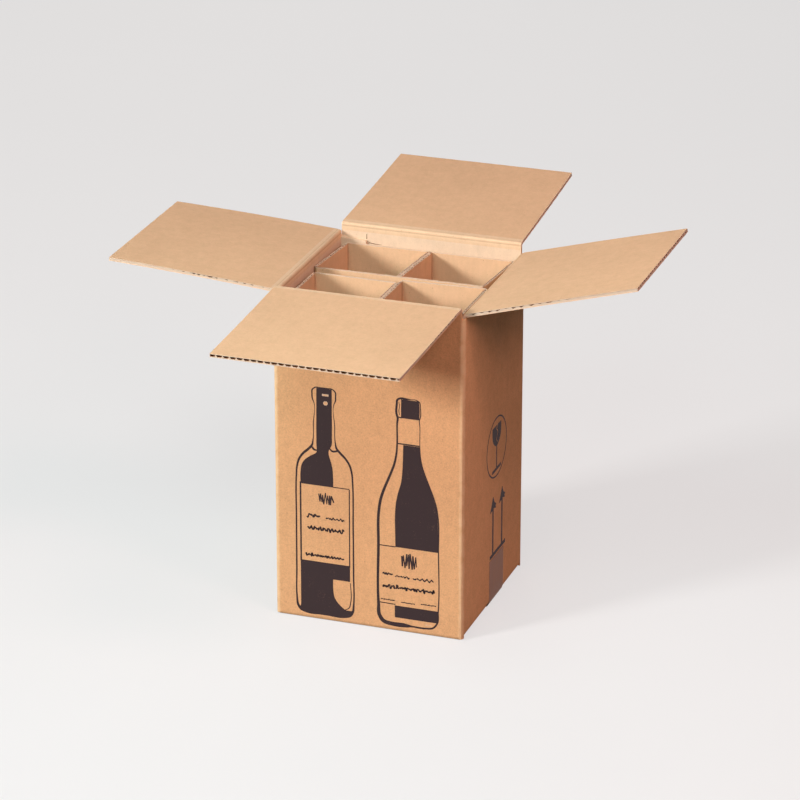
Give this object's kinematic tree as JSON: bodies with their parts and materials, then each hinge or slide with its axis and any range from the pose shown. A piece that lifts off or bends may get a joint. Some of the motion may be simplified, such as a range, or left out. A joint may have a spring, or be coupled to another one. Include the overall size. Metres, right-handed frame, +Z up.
{
  "type": "bottle shipping box",
  "caption": "Tall corrugated shipping box for wine bottles, with an open top, long folding flaps and folded dividers that make the bottle cells.",
  "frame": {"origin": "the middle of the face that the box stands on, under the middle of its walls", "axes": "+Z up, out of the open top; +X to the right wall; -Y to the front wall"},
  "size_m": [0.5987, 0.5992, 0.4327],
  "materials": {
    "kraft_board": "matt kraft liner",
    "insert_board": "matt kraft liner",
    "packing_tape": "glossy brown film"
  },
  "bodies": {
    "case": {"case": "kraft_board", "insert_back": "insert_board", "insert_front": "insert_board", "bottom_tape": "packing_tape"},
    "flap_front": {"flap_front": "kraft_board"},
    "flap_back": {"flap_back": "kraft_board"},
    "flap_left": {"flap_left": "kraft_board"},
    "flap_right": {"flap_right": "kraft_board"}
  },
  "joints": [
    {"name": "front_flap_fold", "type": "hinge", "parent": "case", "child": "flap_front", "pos_m": [0, -0.106, 0.3855], "axis": [-1, 0, 0], "range_deg": [-80.1, 181.9]},
    {"name": "back_flap_fold", "type": "hinge", "parent": "case", "child": "flap_back", "pos_m": [0, 0.106, 0.3885], "axis": [1, 0, 0], "range_deg": [-87.3, 170.5]},
    {"name": "left_flap_fold", "type": "hinge", "parent": "case", "child": "flap_left", "pos_m": [-0.109, 0, 0.3797], "axis": [0, 1, 0], "range_deg": [-85.4, 176.1]},
    {"name": "right_flap_fold", "type": "hinge", "parent": "case", "child": "flap_right", "pos_m": [0.109, 0, 0.3775], "axis": [0, -1, 0], "range_deg": [-97.4, 165.45]}
  ]
}
